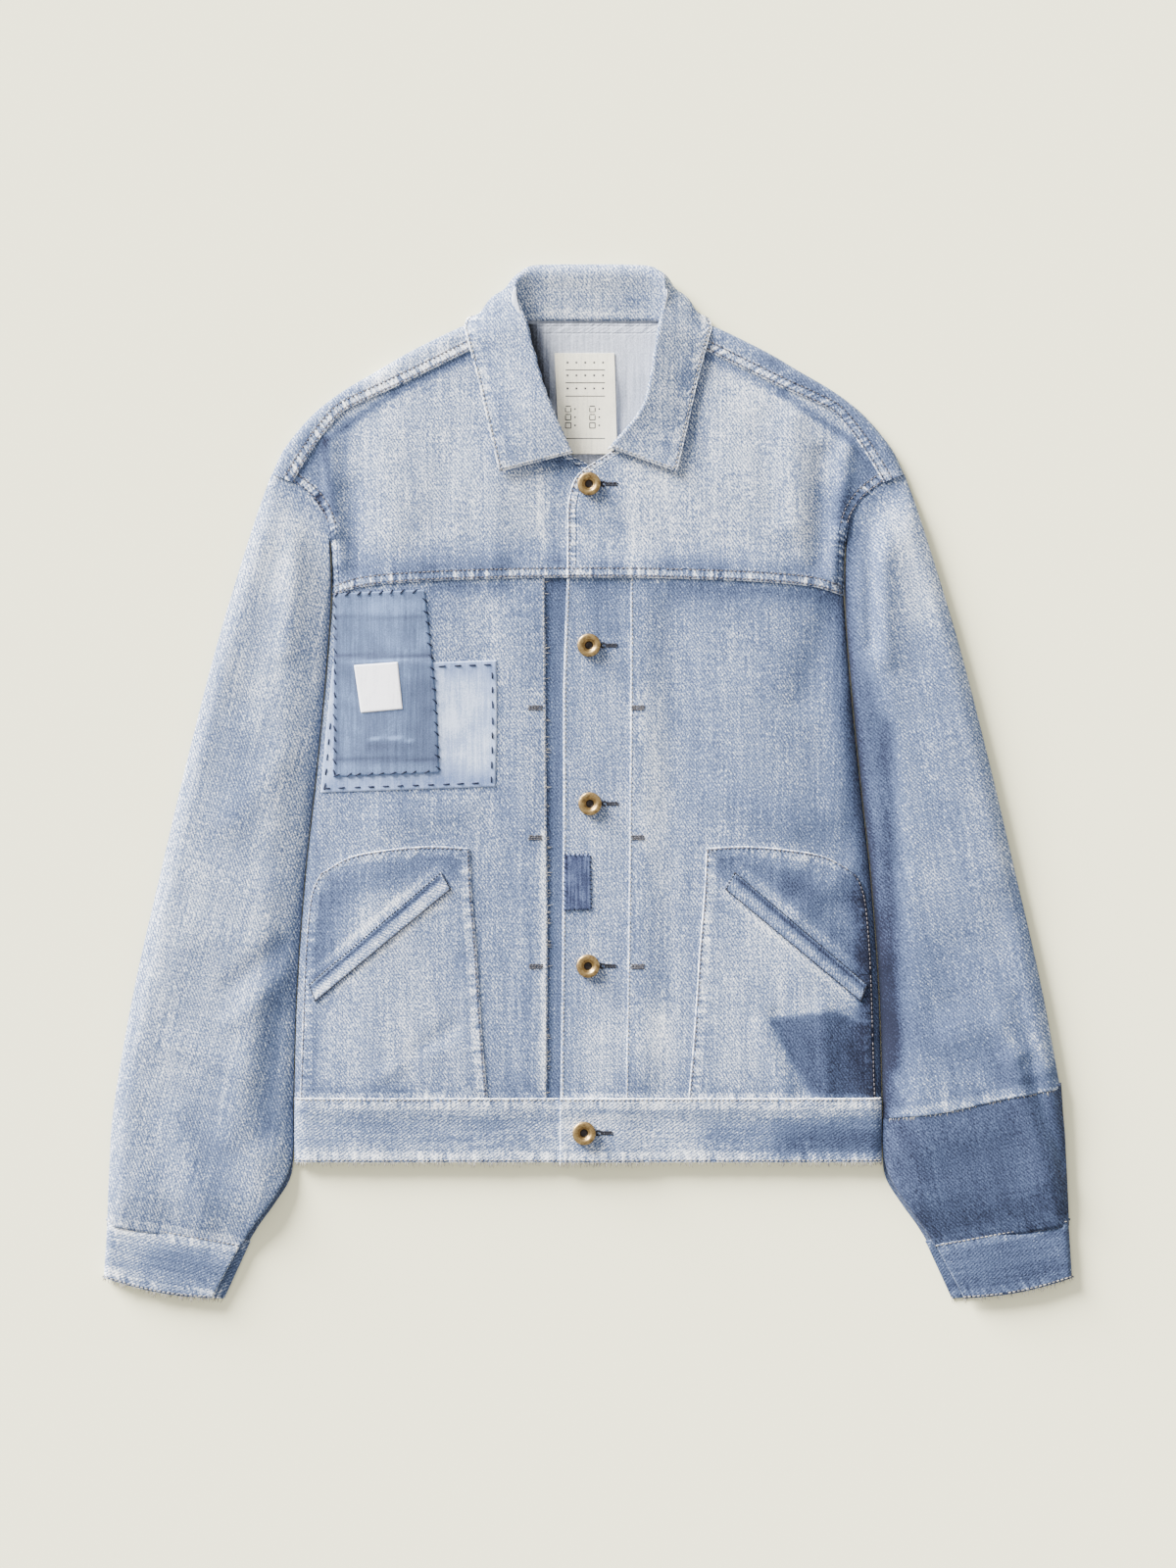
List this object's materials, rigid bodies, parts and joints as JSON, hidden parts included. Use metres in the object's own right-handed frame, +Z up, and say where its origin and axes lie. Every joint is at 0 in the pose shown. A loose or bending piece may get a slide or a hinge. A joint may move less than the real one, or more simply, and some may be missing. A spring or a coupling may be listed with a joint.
{
  "type": "patched denim work jacket",
  "caption": "Faded denim work jacket laid flat on its back, buttoned, with front pleats, slanted welt pockets and hand-sewn chest patches.",
  "frame": {"origin": "middle of the laid jacket's outline, on the surface that it lies on", "axes": "+Z up from the surface through back and front, +Y from hem to collar, +X towards the wearer's left sleeve"},
  "size_m": [0.711, 0.758, 0.0179],
  "materials": {
    "denim_light": "faded light blue twill, worn pale at seams and edges",
    "denim_sleeve": "faded light blue twill with long soft streaks",
    "denim_band": "light blue twill, less faded",
    "denim_dark": "mid blue twill, little faded",
    "patch_light": "thin pale blue plain weave",
    "patch_blue": "thin mid blue plain weave in tone bands",
    "patch_indigo": "indigo plain weave with a hand-sewn edge",
    "label_white": "smooth white woven label, bare",
    "label_cream": "smooth cream woven label with plain rules and dots",
    "brass": "aged brass, worn bright on the raised ring"
  },
  "bodies": {
    "root": {"back": "denim_light", "yoke_left": "denim_light", "yoke_right": "denim_light", "front_left": "denim_light", "front_right": "denim_light", "band_left": "denim_band", "band_right": "denim_band", "waistband_back": "denim_light", "waistband_left": "denim_light", "waistband_right": "denim_light", "sleeve_left_upper": "denim_sleeve", "sleeve_left_lower": "denim_dark", "sleeve_left_under": "denim_sleeve", "sleeve_right_upper": "denim_sleeve", "sleeve_right_under": "denim_sleeve", "cuff_left": "denim_dark", "cuff_right": "denim_light", "pocket_left": "denim_light", "pocket_right": "denim_light", "welt_left": "denim_band", "welt_right": "denim_band", "patch_light": "patch_light", "patch_blue": "patch_blue", "patch_band": "patch_indigo", "label_chest": "label_white", "label_neck": "label_cream", "collar": "denim_light", "button_1": "brass", "button_2": "brass", "button_3": "brass", "button_4": "brass", "button_5": "brass"}
  },
  "joints": []
}
